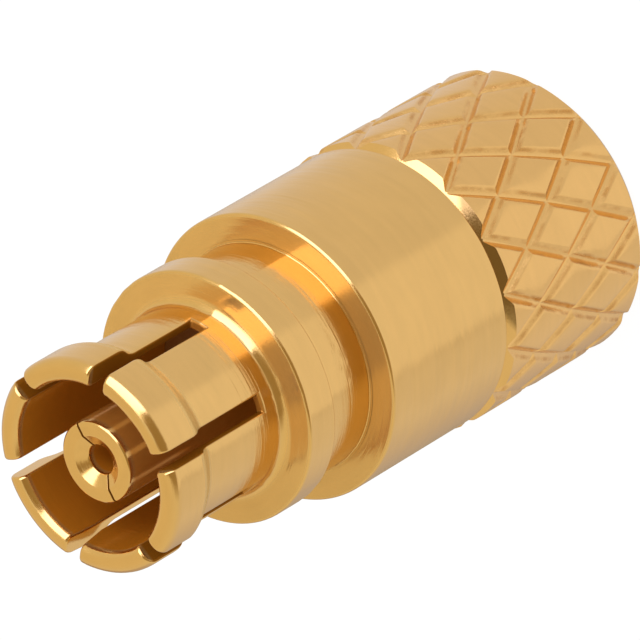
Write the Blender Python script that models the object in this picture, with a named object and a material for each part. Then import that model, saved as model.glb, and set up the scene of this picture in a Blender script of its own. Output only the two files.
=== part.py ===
"""A miniature push-on coaxial terminator with six snap fingers and a diamond-knurled rear cap.

Sizes are in millimetres and turn into metres where a mesh is made. The axis is +Z: the flat rear
face lies on z = 0, and the finger ends point up. The turned pieces share that axis, so their
outlines are lists of (radius, height) points.
"""

import math

import bpy
import numpy as np

MM = 0.001

# Finishes: colour, roughness and metallic value
GOLD = ((0.79, 0.52, 0.22), 0.25, 1.0)
TIN = ((0.72, 0.72, 0.70), 0.35, 1.0)
SOLDER = ((0.66, 0.66, 0.66), 0.25, 1.0)
CERAMIC = ((0.82, 0.80, 0.74), 0.45, 0.0)
POLYETHERIMIDE = ((0.45, 0.22, 0.05), 0.35, 0.0)

# Lengths along the outside, from the rear face up to the finger ends
CAP_LENGTH = 2.70
BARREL_LENGTH = 2.18
NECK_LENGTH = 0.82
FLANGE_LENGTH = 0.47
FINGER_LENGTH = 2.19

# Clearances: along the axis where pieces seat, and round it where they are pressed or soldered
SEAT = 0.010
PRESS = 0.010

# Outer radius of the smooth barrel, from which the walls below give the other outer radii
BARREL_RADIUS = 1.857

# Snap fingers
FINGER_COUNT = 6
FINGER_WALL = 0.135
LIP_HEIGHT = 0.155
LIP_LENGTH = 0.625
LIP_SLOPE_DEG = 45.0
TIP_ROUND = 0.140
TIP_BORE_ROUND = 0.100
SLOT_WIDTH = 0.215
SLOT_LENGTH = 1.890
SLOT_MOUTH_ROUND = 0.050
ROOT_FILLET = 0.135

# Flange, neck and hollow tail of the outer contact
BEAD_SHOULDER = 0.165
TAIL_WALL = 0.240
TAIL_LENGTH = 1.300
FLANGE_HEIGHT = 0.140

# Broken edges of the turned pieces
EDGE_ROUND = 0.045
SMALL_CHAMFER = 0.020

# Barrel, with the spigot that the rear cap is pressed on
BARREL_WALL = 0.357
SPIGOT_WALL = 0.300

# Rear cap and its knurl
KNURL_PROUD = 0.041
CAP_WALL = 0.438
KNURL_STARTS = 16
KNURL_ANGLE_DEG = 30.0
KNURL_DEPTH = 0.083
KNURL_GROOVE_SHARE = 0.25
KNURL_TURN_DEG = 9.5
KNURL_INSET = 0.025
CAP_FLOOR = 0.550
CAP_FRONT_CHAMFER = 0.122
CAP_REAR_CHAMFER = 0.100
CAP_REAR_CHAMFER_DEG = 49.0

# Centre contact: a socket of two tines on a thin pin
SOCKET_RADIUS = 0.524
SOCKET_RECESS = 0.190
SOCKET_BORE = 0.185
SOCKET_DEPTH = 1.450
COUNTERSINK_RADIUS = 0.345
DRILL_POINT_DEG = 118.0
SOCKET_CHAMFER = 0.040
SLIT_WIDTH = 0.030
SLIT_LENGTH = 1.350
SLIT_TURN_DEG = -18.3
PIN_RADIUS = 0.330

# Insulating bead that carries the centre contact, and the bush that holds it
BEAD_FACE_DEPTH = 2.760
BEAD_THICKNESS = 1.000
BUSH_WALL = 0.130

# Socket that joins the centre contact's pin to the resistor
LOAD_GAP = 0.300
LOAD_SOCKET_WALL = 0.075
LOAD_SOCKET_PIN_DEPTH = 0.450
LOAD_SOCKET_WEB = 0.200
LOAD_SOCKET_ROD_DEPTH = 0.550

# Resistor rod with its end caps and solder
ROD_RADIUS = 0.360
END_CAP_WALL = 0.045
END_CAP_LENGTH = 0.500
SOLDER_WIDTH = 0.090
SOLDER_HEIGHT = 0.070

# Grounding plug
PLUG_THICKNESS = 1.020
PLUG_HOLE_FLOOR = 0.300

# Sleeve around the resistor: its wall in front, and its gap to the resistor behind
SLEEVE_FRONT_WALL = 0.090
SLEEVE_REAR_GAP = 0.145

# Facets round the pieces, and the sharpest angle that is still shaded smooth
CAP_FACETS = 96
OUTER_FACETS = 60
INNER_FACETS = 32
SMOOTH_DEG = 30.0

# Heights of shoulders and seats above the rear face
SEAM_Z = CAP_LENGTH
BARREL_FRONT_Z = SEAM_Z + BARREL_LENGTH
FLANGE_REAR_Z = BARREL_FRONT_Z + NECK_LENGTH
FLANGE_FRONT_Z = FLANGE_REAR_Z + FLANGE_LENGTH
TIP_Z = FLANGE_FRONT_Z + FINGER_LENGTH
TAIL_END_Z = BARREL_FRONT_Z - TAIL_LENGTH
TAIL_STEP_Z = TAIL_END_Z - SEAT
BEAD_FRONT_Z = TIP_Z - BEAD_FACE_DEPTH
BEAD_REAR_Z = BEAD_FRONT_Z - BEAD_THICKNESS
LOAD_SOCKET_FRONT_Z = BEAD_REAR_Z - LOAD_GAP
LOAD_SOCKET_PIN_Z = LOAD_SOCKET_FRONT_Z - LOAD_SOCKET_PIN_DEPTH
LOAD_SOCKET_ROD_Z = LOAD_SOCKET_PIN_Z - LOAD_SOCKET_WEB
LOAD_SOCKET_REAR_Z = LOAD_SOCKET_ROD_Z - LOAD_SOCKET_ROD_DEPTH
PLUG_REAR_Z = CAP_FLOOR + SEAT
PLUG_FRONT_Z = PLUG_REAR_Z + PLUG_THICKNESS
PLUG_HOLE_Z = PLUG_REAR_Z + PLUG_HOLE_FLOOR
SPIGOT_END_Z = PLUG_FRONT_Z + SEAT
ROD_REAR_Z = PLUG_HOLE_Z + SEAT + END_CAP_WALL + SEAT
ROD_FRONT_Z = LOAD_SOCKET_ROD_Z - SEAT - END_CAP_WALL - SEAT

# Radii of the outer pieces, from the barrel inwards to the fingers, then those of the cap
TAIL_BORE = BARREL_RADIUS - BARREL_WALL
NECK_RADIUS = TAIL_BORE - PRESS
FLANGE_RADIUS = NECK_RADIUS + FLANGE_HEIGHT
POCKET_RADIUS = NECK_RADIUS - TAIL_WALL
FINGER_BORE = POCKET_RADIUS - BEAD_SHOULDER
FINGER_RADIUS = FINGER_BORE + FINGER_WALL
LIP_RADIUS = FINGER_RADIUS + LIP_HEIGHT
KNURL_RADIUS = BARREL_RADIUS + KNURL_PROUD
CAP_BORE = KNURL_RADIUS - CAP_WALL
SPIGOT_RADIUS = CAP_BORE - PRESS
SPIGOT_BORE = SPIGOT_RADIUS - SPIGOT_WALL

# Radii round the resistor
END_CAP_BORE = ROD_RADIUS + PRESS
END_CAP_RADIUS = END_CAP_BORE + END_CAP_WALL
ROD_HOLE_RADIUS = END_CAP_RADIUS + PRESS
LOAD_SOCKET_RADIUS = ROD_HOLE_RADIUS + LOAD_SOCKET_WALL
SOLDER_RADIUS = ROD_RADIUS + PRESS + SOLDER_WIDTH


def clear_scene():
    """Removes whatever the scene holds."""
    for obj in list(bpy.data.objects):
        bpy.data.objects.remove(obj, do_unlink=True)


def make_object(name, points, faces):
    """An object from points in millimetres and faces whose corners run anticlockwise outside."""
    mesh = bpy.data.meshes.new(name)
    mesh.from_pydata([tuple(float(value) * MM for value in point) for point in points], [], faces)
    mesh.shade_smooth()
    mesh.set_sharp_from_angle(angle=math.radians(SMOOTH_DEG))
    obj = bpy.data.objects.new(name, mesh)
    bpy.context.scene.collection.objects.link(obj)
    return obj


def paint(obj, finish):
    """Gives a piece its own Principled material with the colour and gloss of a finish."""
    colour, roughness, metallic = finish
    material = bpy.data.materials.new(obj.name)
    material.use_nodes = True
    shader = material.node_tree.nodes["Principled BSDF"]
    shader.inputs["Base Color"].default_value = (*colour, 1.0)
    shader.inputs["Roughness"].default_value = roughness
    shader.inputs["Metallic"].default_value = metallic
    obj.data.materials.append(material)


def turned(name, outline, facets):
    """Turns an outline of (radius, height) points once round the Z axis.

    The outline runs anticlockwise round the cut section, seen with the radius to the right and the
    height up. It is a closed ring, or it starts and ends on the axis.
    """
    angles = [2.0 * math.pi * step / facets for step in range(facets)]
    points = []
    rings = []
    for radius, height in outline:
        if radius == 0.0:
            rings.append([len(points)] * facets)
            points.append((0.0, 0.0, height))
        else:
            rings.append([len(points) + step for step in range(facets)])
            points += [(radius * math.cos(a), radius * math.sin(a), height) for a in angles]
    bands = list(zip(rings, rings[1:]))
    if outline[0][0] > 0.0:
        bands.append((rings[-1], rings[0]))
    faces = []
    for first, second in bands:
        for step in range(facets):
            following = (step + 1) % facets
            corners = [first[step], first[following], second[following], second[step]]
            faces.append(list(dict.fromkeys(corners)))
    return make_object(name, points, faces)


def tube(name, inner, outer, rear, front):
    """A turned ring with square ends."""
    outline = [(inner, rear), (outer, rear), (outer, front), (inner, front)]
    return turned(name, outline, INNER_FACETS)


def arc(centre, radius, start_deg, end_deg, steps):
    """Points on an arc, both ends included. Angles run anticlockwise from the outward direction."""
    turns = np.radians(np.linspace(start_deg, end_deg, steps + 1))
    return [(centre[0] + radius * math.cos(a), centre[1] + radius * math.sin(a)) for a in turns]


def as_cutter(obj):
    """Leaves an object out of the finished part."""
    obj.hide_render = True
    obj.display_type = "WIRE"
    return obj


def radial_cutter(name, outline, inner, outer, turns_deg):
    """Prisms that point straight out from the axis, one for each turn.

    The outline holds (sideways, height) points, anticlockwise as seen from outside. Each prism
    reaches from the inner to the outer distance from the axis.
    """
    count = len(outline)
    points = []
    faces = []
    for turn in np.radians(turns_deg):
        near = [len(points) + k for k in range(count)]
        far = [len(points) + count + k for k in range(count)]
        for reach in (inner, outer):
            for side, height in outline:
                x = reach * math.cos(turn) - side * math.sin(turn)
                y = reach * math.sin(turn) + side * math.cos(turn)
                points.append((x, y, height))
        faces += [near[::-1], far]
        faces += [[near[k - 1], near[k], far[k], far[k - 1]] for k in range(count)]
    return as_cutter(make_object(name, points, faces))


def add_boolean(obj, other, operation):
    """Adds an exact Boolean with another object."""
    modifier = obj.modifiers.new(other.name, "BOOLEAN")
    modifier.operation = operation
    modifier.object = other
    modifier.solver = "EXACT"


def outer_contact_outline():
    """Section of the outer contact: fingers with a snap lip, flange, neck and hollow tail."""
    lip_end = TIP_Z - LIP_LENGTH
    slope_end = lip_end - (LIP_RADIUS - FINGER_RADIUS) * math.tan(math.radians(LIP_SLOPE_DEG))
    fillet = (FINGER_RADIUS + ROOT_FILLET, FLANGE_FRONT_Z + ROOT_FILLET)
    flange_edge = (FLANGE_RADIUS - EDGE_ROUND, FLANGE_FRONT_Z - EDGE_ROUND)
    tip = (LIP_RADIUS - TIP_ROUND, TIP_Z - TIP_ROUND)
    tip_bore = (FINGER_BORE + TIP_BORE_ROUND, TIP_Z - TIP_BORE_ROUND)
    return [
        (POCKET_RADIUS, TAIL_END_Z),
        (NECK_RADIUS - SMALL_CHAMFER, TAIL_END_Z),
        (NECK_RADIUS, TAIL_END_Z + SMALL_CHAMFER),
        (NECK_RADIUS, FLANGE_REAR_Z),
        (FLANGE_RADIUS - SMALL_CHAMFER, FLANGE_REAR_Z),
        (FLANGE_RADIUS, FLANGE_REAR_Z + SMALL_CHAMFER),
        *arc(flange_edge, EDGE_ROUND, 0.0, 90.0, 2),
        *arc(fillet, ROOT_FILLET, 270.0, 180.0, 4),
        (FINGER_RADIUS, slope_end),
        (LIP_RADIUS, lip_end),
        *arc(tip, TIP_ROUND, 0.0, 90.0, 4),
        *arc(tip_bore, TIP_BORE_ROUND, 90.0, 180.0, 3),
        (FINGER_BORE, BEAD_FRONT_Z + SEAT),
        (POCKET_RADIUS, BEAD_FRONT_Z + SEAT),
    ]


def finger_slot_outline():
    """A slot between two fingers, with its mouth rounded off at the finger ends."""
    half = SLOT_WIDTH / 2
    mouth = (half + SLOT_MOUTH_ROUND, TIP_Z - SLOT_MOUTH_ROUND)
    flare = arc(mouth, SLOT_MOUTH_ROUND, 180.0, 90.0, 3)
    side = [(half, TIP_Z - SLOT_LENGTH), *flare, (mouth[0], TIP_Z + SLOT_MOUTH_ROUND)]
    return side + [(-x, z) for x, z in reversed(side)]


def make_outer_contact():
    """The turned outer contact, cut into springy fingers by evenly spaced slots."""
    contact = turned("outer_contact", outer_contact_outline(), OUTER_FACETS)
    turns = np.arange(FINGER_COUNT) * 360.0 / FINGER_COUNT
    inner = FINGER_BORE - SLOT_WIDTH
    outer = LIP_RADIUS + SLOT_WIDTH
    slots = radial_cutter("finger_slots", finger_slot_outline(), inner, outer, turns)
    add_boolean(contact, slots, "DIFFERENCE")
    return contact


def make_barrel():
    """The smooth barrel. Its front bore takes the contact's tail, its rear spigot takes the cap."""
    front_edge = (BARREL_RADIUS - EDGE_ROUND, BARREL_FRONT_Z - EDGE_ROUND)
    outline = [
        (SPIGOT_BORE, SPIGOT_END_Z),
        (SPIGOT_RADIUS - SMALL_CHAMFER, SPIGOT_END_Z),
        (SPIGOT_RADIUS, SPIGOT_END_Z + SMALL_CHAMFER),
        (SPIGOT_RADIUS, SEAM_Z),
        (BARREL_RADIUS - SMALL_CHAMFER, SEAM_Z),
        (BARREL_RADIUS, SEAM_Z + SMALL_CHAMFER),
        *arc(front_edge, EDGE_ROUND, 0.0, 90.0, 2),
        (TAIL_BORE, BARREL_FRONT_Z),
        (TAIL_BORE, TAIL_STEP_Z),
        (SPIGOT_BORE, TAIL_STEP_Z),
    ]
    return turned("barrel", outline, OUTER_FACETS)


def make_knurled_bar():
    """A round bar with crossed grooves in it, longer than the cap at both ends.

    Two families of grooves cross, leaning to either side of the axis. With n starts, and with the
    height z counted in pitches from a ring of crossings just behind the cap's front edge,
        u = n angle / 360 + z    and    v = n angle / 360 - z
    and a groove runs wherever u or v is a whole number. The grid below follows u and v, so its
    lines are the bottoms and the edges of the grooves.
    """
    half_groove = KNURL_GROOVE_SHARE / 2
    breaks = np.array([0.0, half_groove, 0.5, 1.0 - half_groove])
    per_cell = len(breaks)
    columns = KNURL_STARTS * per_cell
    crossing_z = SEAM_Z - KNURL_INSET
    spacing = 2.0 * math.pi * KNURL_RADIUS / KNURL_STARTS
    pitch = spacing / math.tan(math.radians(KNURL_ANGLE_DEG))
    lowest = -per_cell * (math.floor(2.0 * crossing_z / pitch) + 1)
    highest = per_cell * (math.floor(2.0 * KNURL_INSET / pitch) + 1)

    row, column = np.mgrid[lowest : highest + 1, 0:columns]
    u_step = row + column
    u = u_step // per_cell + breaks[u_step % per_cell]
    v = column // per_cell + breaks[column % per_cell]
    in_groove = (u_step % per_cell == 0) | (column % per_cell == 0)
    radius = KNURL_RADIUS - KNURL_DEPTH * in_groove
    angle = math.radians(KNURL_TURN_DEG) + math.pi * (u + v) / KNURL_STARTS
    height = crossing_z + pitch * (u - v) / 2
    points = np.stack([radius * np.cos(angle), radius * np.sin(angle), height], axis=-1)

    def at(row, column):
        return (row - lowest) * columns + column % columns

    faces = [[at(lowest, c) for c in reversed(range(columns))]]
    faces.append([at(highest, c) for c in range(columns)])
    for r in range(lowest, highest + 1):
        for c in range(columns):
            left, right = at(r, c), at(r, c + 1)
            above, below = at(r + 1, c), at(r - 1, c + 1)
            if r == highest:
                faces.append([left, below, right])
            elif r == lowest:
                faces.append([left, right, above])
            elif ((r + c) % per_cell < per_cell / 2) == (c % per_cell < per_cell / 2):
                faces += [[left, below, right], [left, right, above]]
            else:
                faces += [[left, below, above], [below, right, above]]
    return as_cutter(make_object("knurled_bar", points.reshape(-1, 3), faces))


def make_rear_cap():
    """The closed rear cap: a turned cup with chamfered ends, knurled all round."""
    front = SEAM_Z - SEAT
    oversize = KNURL_RADIUS + KNURL_DEPTH
    front_rise = oversize - (KNURL_RADIUS - CAP_FRONT_CHAMFER)
    rear_edge = KNURL_RADIUS - CAP_REAR_CHAMFER
    rear_rise = (oversize - rear_edge) * math.tan(math.radians(CAP_REAR_CHAMFER_DEG))
    outline = [
        (0.0, 0.0),
        (rear_edge, 0.0),
        (oversize, rear_rise),
        (oversize, front - front_rise),
        (KNURL_RADIUS - CAP_FRONT_CHAMFER, front),
        (CAP_BORE, front),
        (CAP_BORE, CAP_FLOOR),
        (0.0, CAP_FLOOR),
    ]
    cap = turned("rear_cap", outline, CAP_FACETS)
    add_boolean(cap, make_knurled_bar(), "INTERSECT")
    return cap


def make_centre_contact():
    """The socket of two tines, and the pin behind it that passes through the bead."""
    face = TIP_Z - SOCKET_RECESS
    shoulder = BEAD_FRONT_Z + SEAT
    pin_end = LOAD_SOCKET_PIN_Z + SEAT
    point_slope = 1.0 / math.tan(math.radians(DRILL_POINT_DEG / 2))
    countersink = (COUNTERSINK_RADIUS - SOCKET_BORE) * point_slope
    outline = [
        (0.0, pin_end),
        (PIN_RADIUS - SOCKET_CHAMFER, pin_end),
        (PIN_RADIUS, pin_end + SOCKET_CHAMFER),
        (PIN_RADIUS, shoulder),
        (SOCKET_RADIUS, shoulder),
        (SOCKET_RADIUS, face - SOCKET_CHAMFER),
        (SOCKET_RADIUS - SOCKET_CHAMFER, face),
        (COUNTERSINK_RADIUS, face),
        (SOCKET_BORE, face - countersink),
        (SOCKET_BORE, face - SOCKET_DEPTH),
        (0.0, face - SOCKET_DEPTH - SOCKET_BORE * point_slope),
    ]
    contact = turned("centre_contact", outline, INNER_FACETS)
    half = SLIT_WIDTH / 2
    bottom = face - SLIT_LENGTH
    top = face + SLIT_WIDTH
    slit = [(half, bottom), (half, top), (-half, top), (-half, bottom)]
    reach = SOCKET_RADIUS + SLIT_WIDTH
    cutter = radial_cutter("socket_slit", slit, -reach, reach, [SLIT_TURN_DEG])
    add_boolean(contact, cutter, "DIFFERENCE")
    return contact


def make_bead():
    """The insulating bead in the hollow tail of the outer contact."""
    return tube("bead", PIN_RADIUS + PRESS, POCKET_RADIUS - PRESS, BEAD_REAR_Z, BEAD_FRONT_Z)


def make_bead_bush():
    """The pressed bush that keeps the bead against the outer contact's shoulder."""
    outer = POCKET_RADIUS - PRESS
    return tube("bead_bush", outer - BUSH_WALL, outer, TAIL_END_Z, BEAD_REAR_Z - SEAT)


def make_load_socket():
    """The double socket: a hole for the contact's pin in front, one for the resistor behind."""
    pin_hole = PIN_RADIUS + PRESS
    outline = [
        (0.0, LOAD_SOCKET_ROD_Z),
        (ROD_HOLE_RADIUS, LOAD_SOCKET_ROD_Z),
        (ROD_HOLE_RADIUS, LOAD_SOCKET_REAR_Z),
        (LOAD_SOCKET_RADIUS, LOAD_SOCKET_REAR_Z),
        (LOAD_SOCKET_RADIUS, LOAD_SOCKET_FRONT_Z),
        (pin_hole, LOAD_SOCKET_FRONT_Z),
        (pin_hole, LOAD_SOCKET_PIN_Z),
        (0.0, LOAD_SOCKET_PIN_Z),
    ]
    return turned("load_socket", outline, INNER_FACETS)


def make_resistor_rod():
    """The ceramic rod that carries the resistive film."""
    outline = [
        (0.0, ROD_REAR_Z),
        (ROD_RADIUS, ROD_REAR_Z),
        (ROD_RADIUS, ROD_FRONT_Z),
        (0.0, ROD_FRONT_Z),
    ]
    return turned("resistor_rod", outline, INNER_FACETS)


def make_end_cap(name, rod_end, outward):
    """A drawn cup pressed over one end of the rod. outward is +1 at the front and -1 behind."""
    inside = rod_end + outward * SEAT
    outside = inside + outward * END_CAP_WALL
    rim = outside - outward * END_CAP_LENGTH
    outline = [
        (0.0, inside),
        (END_CAP_BORE, inside),
        (END_CAP_BORE, rim),
        (END_CAP_RADIUS, rim),
        (END_CAP_RADIUS, outside),
        (0.0, outside),
    ]
    return turned(name, outline[::outward], INNER_FACETS)


def make_ground_plug():
    """The plug that joins the resistor's rear end to the cap and the barrel."""
    counterbore = SOLDER_RADIUS + PRESS
    step = PLUG_FRONT_Z - SOLDER_HEIGHT - SEAT
    outline = [
        (0.0, PLUG_REAR_Z),
        (SPIGOT_RADIUS, PLUG_REAR_Z),
        (SPIGOT_RADIUS, PLUG_FRONT_Z),
        (counterbore, PLUG_FRONT_Z),
        (counterbore, step),
        (ROD_HOLE_RADIUS, step),
        (ROD_HOLE_RADIUS, PLUG_HOLE_Z),
        (0.0, PLUG_HOLE_Z),
    ]
    return turned("ground_plug", outline, INNER_FACETS)


def make_solder_ring(name, front):
    """A ring of solder that closes the joint round the rod."""
    return tube(name, ROD_RADIUS + PRESS, SOLDER_RADIUS, front - SOLDER_HEIGHT, front)


def make_matching_sleeve():
    """The sleeve round the resistor, whose bore narrows towards the rear."""
    outer = SPIGOT_BORE - PRESS
    outline = [
        (END_CAP_RADIUS + SLEEVE_REAR_GAP, SPIGOT_END_Z),
        (outer, SPIGOT_END_Z),
        (outer, TAIL_STEP_Z),
        (outer - SLEEVE_FRONT_WALL, TAIL_STEP_Z),
    ]
    return turned("matching_sleeve", outline, INNER_FACETS)


def build():
    """Makes every piece of the terminator, from the outside in."""
    clear_scene()
    paint(make_outer_contact(), GOLD)
    paint(make_barrel(), GOLD)
    paint(make_rear_cap(), GOLD)
    paint(make_centre_contact(), GOLD)
    paint(make_bead(), POLYETHERIMIDE)
    paint(make_bead_bush(), GOLD)
    paint(make_load_socket(), GOLD)
    paint(make_resistor_rod(), CERAMIC)
    paint(make_end_cap("resistor_front_cap", ROD_FRONT_Z, 1), TIN)
    paint(make_end_cap("resistor_rear_cap", ROD_REAR_Z, -1), TIN)
    paint(make_solder_ring("front_solder", LOAD_SOCKET_REAR_Z - SEAT), SOLDER)
    paint(make_solder_ring("rear_solder", PLUG_FRONT_Z), SOLDER)
    paint(make_matching_sleeve(), GOLD)
    paint(make_ground_plug(), GOLD)


build()
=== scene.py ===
"""Looks and studio for a miniature push-on coaxial terminator in matt gold plating.

Sizes are in millimetres and turn into metres where a mesh is finished. The axis is +Z, from the
flat rear face up to the finger ends.
"""

import math

import bmesh
import bpy
import numpy as np
from mathutils import Matrix


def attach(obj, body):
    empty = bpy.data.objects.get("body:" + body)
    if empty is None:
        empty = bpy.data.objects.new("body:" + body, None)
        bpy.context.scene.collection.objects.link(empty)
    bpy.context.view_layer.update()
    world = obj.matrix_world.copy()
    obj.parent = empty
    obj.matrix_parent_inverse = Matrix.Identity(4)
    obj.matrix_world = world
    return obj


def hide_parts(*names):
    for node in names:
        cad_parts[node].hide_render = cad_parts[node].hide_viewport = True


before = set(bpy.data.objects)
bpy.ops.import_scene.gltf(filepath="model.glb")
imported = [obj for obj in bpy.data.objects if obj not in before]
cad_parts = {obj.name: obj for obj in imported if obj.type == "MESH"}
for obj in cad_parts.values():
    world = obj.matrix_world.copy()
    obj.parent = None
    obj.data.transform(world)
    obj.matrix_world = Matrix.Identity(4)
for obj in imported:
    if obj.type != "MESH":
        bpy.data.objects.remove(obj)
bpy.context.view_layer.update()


# Centre contact: a socket of two springy tines with a countersunk mouth, on the pin that goes
# through the bead. Turned beryllium copper, slit with a fine saw and plated with gold.

MM = 0.001
TIP_Z = 8.36
BEAD_FRONT_Z = 5.60
CONTACT_SHOULDER_Z = 5.61
PIN_END_Z = 3.86
PIN_RADIUS = 0.330
SOCKET_RADIUS = 0.524
SOCKET_FACE_Z = 8.17
COUNTERSINK_RADIUS = 0.345
COUNTERSINK_END_Z = 8.074
SOCKET_BORE = 0.185
BORE_END_Z = 6.72
BORE_POINT_Z = 6.61
SLIT_WIDTH = 0.030
SLIT_LENGTH = 1.350
SLIT_TURN_DEG = -18.3
CONTACT_EDGE = 0.004
SHADE_FROM, SHADE_FULL = 0.02, 0.005
SHADE_DEPTH = 0.10
# Painted shade on the socket's side below the rim.
SOCKET_SIDE_SHADE = 0.80
SOCKET_SIDE_DEPTH = 0.12
FINE_COLUMNS = 192
PLAIN_COLUMNS = 96
CREASE_DEG = 35.0
NEARLY_ZERO = 1e-6
NO_DIVISION_BY_ZERO = 1e-12


def rounded(outline, steps=5):
    """Section points from corners (radius, height, round).

    A corner with a round gives way to an arc that touches both of its sides: its centre lies on
    the line that halves the corner, at round / sin(half the corner) from it.
    """
    corners = np.array(outline, dtype=float)
    place, size = corners[:, :2], corners[:, 2:]
    back = np.roll(place, 1, axis=0) - place
    ahead = np.roll(place, -1, axis=0) - place
    back /= np.linalg.norm(back, axis=1, keepdims=True)
    ahead /= np.linalg.norm(ahead, axis=1, keepdims=True)
    half = np.arccos(np.clip((back * ahead).sum(axis=1, keepdims=True), -1.0, 1.0)) / 2
    middle = back + ahead
    middle /= np.linalg.norm(middle, axis=1, keepdims=True) + NO_DIVISION_BY_ZERO
    centre = place + middle * size / np.sin(half)
    first = place + back * size / np.tan(half) - centre
    last = place + ahead * size / np.tan(half) - centre
    sweep = (math.pi - 2 * half)[:, None]
    part = np.linspace(0.0, 1.0, steps + 1)[None, :, None]
    blend = np.sin((1 - part) * sweep) * first[:, None] + np.sin(part * sweep) * last[:, None]
    points = (centre[:, None] + blend / np.sin(sweep)).reshape(-1, 2)
    apart = np.linalg.norm(points - np.roll(points, 1, axis=0), axis=1) > NEARLY_ZERO
    return points[apart]


def mesh_object(name, points, faces):
    """An object in millimetres from an array of points and lists of corners."""
    mesh = bpy.data.meshes.new(name)
    mesh.from_pydata(np.asarray(points).reshape(-1, 3).tolist(), [], faces)
    obj = bpy.data.objects.new(name, mesh)
    bpy.context.scene.collection.objects.link(obj)
    mesh.shade_smooth()
    return obj


def even(columns):
    """Angles in degrees that share a full turn evenly."""
    return 360.0 * np.arange(columns) / columns


def turned(name, outline, angles_deg=even(FINE_COLUMNS)):
    """A section turned round the axis.

    Point (i, j) is (r_i cos a_j, r_i sin a_j, h_i). Sides of the section that lie on the axis are
    left out, and its points there are one point each.
    """
    radius, height = np.asarray(outline).T
    angle = np.radians(angles_deg)
    columns = len(angle)
    ring = np.arange(len(radius))[:, None] * columns
    number = np.where(radius[:, None] < NEARLY_ZERO, ring, ring + np.arange(columns))
    points = np.stack(
        [
            radius[:, None] * np.cos(angle),
            radius[:, None] * np.sin(angle),
            np.repeat(height[:, None], columns, axis=1),
        ],
        axis=-1,
    )
    near, far = number, np.roll(number, -1, axis=0)
    quads = np.stack([near, np.roll(near, -1, 1), np.roll(far, -1, 1), far], axis=-1)
    quads = quads.reshape(-1, 4)
    faces = [list(dict.fromkeys(quad)) for quad in quads.tolist()]
    faces = [face for face in faces if len(face) > 2]
    obj = mesh_object(name, points, faces)
    obj.data.update()
    tidy(obj.data)
    return obj


def tidy(mesh):
    """Leaves out the points that no face uses."""
    shell = bmesh.new()
    shell.from_mesh(mesh)
    loose = [point for point in shell.verts if not point.link_faces]
    bmesh.ops.delete(shell, geom=loose, context="VERTS")
    shell.to_mesh(mesh)
    shell.free()


def cut(piece, cutter, operation="DIFFERENCE"):
    """Adds an exact Boolean of a piece with a cutter, which is hidden."""
    modifier = piece.modifiers.new(cutter.name, "BOOLEAN")
    modifier.operation = operation
    modifier.object = cutter
    modifier.solver = "EXACT"
    cutter.hide_render = True


def break_edges(piece, width, segments=2):
    """Adds a small bevel along the sharp edges, and keeps the shading of the flats flat."""
    bevel = piece.modifiers.new("edges", "BEVEL")
    bevel.width = width
    bevel.segments = segments
    bevel.limit_method = "ANGLE"
    bevel.angle_limit = math.radians(CREASE_DEG)
    bevel.use_clamp_overlap = False
    flats = piece.modifiers.new("flats", "WEIGHTED_NORMAL")
    flats.keep_sharp = True


def finished(piece, node, material):
    """Works out a piece's modifiers, turns it into metres and puts it in the node's place."""
    depsgraph = bpy.context.evaluated_depsgraph_get()
    mesh = bpy.data.meshes.new_from_object(piece.evaluated_get(depsgraph))
    mesh.transform(Matrix.Scale(MM, 4))
    mesh.materials.clear()
    mesh.materials.append(material)
    cutters = [modifier.object for modifier in piece.modifiers if modifier.type == "BOOLEAN"]
    for old in [piece, *cutters]:
        bpy.data.objects.remove(old, do_unlink=True)
    obj = bpy.data.objects.new(node + "_plated", mesh)
    bpy.context.scene.collection.objects.link(obj)
    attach(obj, "root")
    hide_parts(node)
    return obj


class Wire:
    """A shader socket for use in expressions: each operator adds its Math node."""

    def __init__(self, tree, socket=None):
        self.tree = tree
        self.socket = socket

    def node(self, kind, settings=None, inputs=None, output=0):
        """Adds a node: its settings first, then a value or a link for each socket."""
        node = self.tree.nodes.new(kind)
        for name, value in (settings or {}).items():
            if name == "stops":
                self.set_stops(node.color_ramp, value)
            else:
                setattr(node, name, value)
        for key, value in (inputs or {}).items():
            self.feed(node.inputs[key], value)
        return Wire(self.tree, node.outputs[output])

    def set_stops(self, ramp, stops):
        """Gives a ramp its stops: pairs of a position and a colour."""
        while len(ramp.elements) < len(stops):
            ramp.elements.new(1.0)
        for element, (position, colour) in zip(ramp.elements, stops):
            element.position = position
            element.color = (*colour, 1.0)

    def feed(self, socket, value):
        """Puts a value or a link into a socket."""
        if isinstance(value, Wire):
            self.tree.links.new(value.socket, socket)
        else:
            socket.default_value = value

    def math(self, operation, *values):
        """A Math node on numbers."""
        return self.node("ShaderNodeMath", {"operation": operation}, dict(enumerate(values)))

    def vector(self, operation, *values, output=0):
        """A Vector Math node."""
        settings = {"operation": operation}
        return self.node("ShaderNodeVectorMath", settings, dict(enumerate(values)), output)

    def scaled(self, factor):
        """This vector times a number."""
        settings = {"operation": "SCALE"}
        return self.node("ShaderNodeVectorMath", settings, {0: self, "Scale": factor})

    def mixed(self, factor, other):
        """This colour where the factor is 0, the other where it is 1."""
        inputs = {"Factor": factor, "A": self, "B": other}
        return self.node("ShaderNodeMix", {"data_type": "RGBA"}, inputs, "Result")

    def rgb(self, colour):
        """A colour to start from."""
        start = self.node("ShaderNodeRGB")
        start.socket.default_value = colour
        return start

    def parts(self):
        """The three numbers of this vector."""
        return [self.node("ShaderNodeSeparateXYZ", {}, {0: self}, output) for output in "XYZ"]

    def __add__(self, other):
        return self.math("ADD", self, other)

    def __radd__(self, other):
        return self.math("ADD", other, self)

    def __sub__(self, other):
        return self.math("SUBTRACT", self, other)

    def __rsub__(self, other):
        return self.math("SUBTRACT", other, self)

    def __mul__(self, other):
        return self.math("MULTIPLY", self, other)

    def __rmul__(self, other):
        return self.math("MULTIPLY", other, self)


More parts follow.
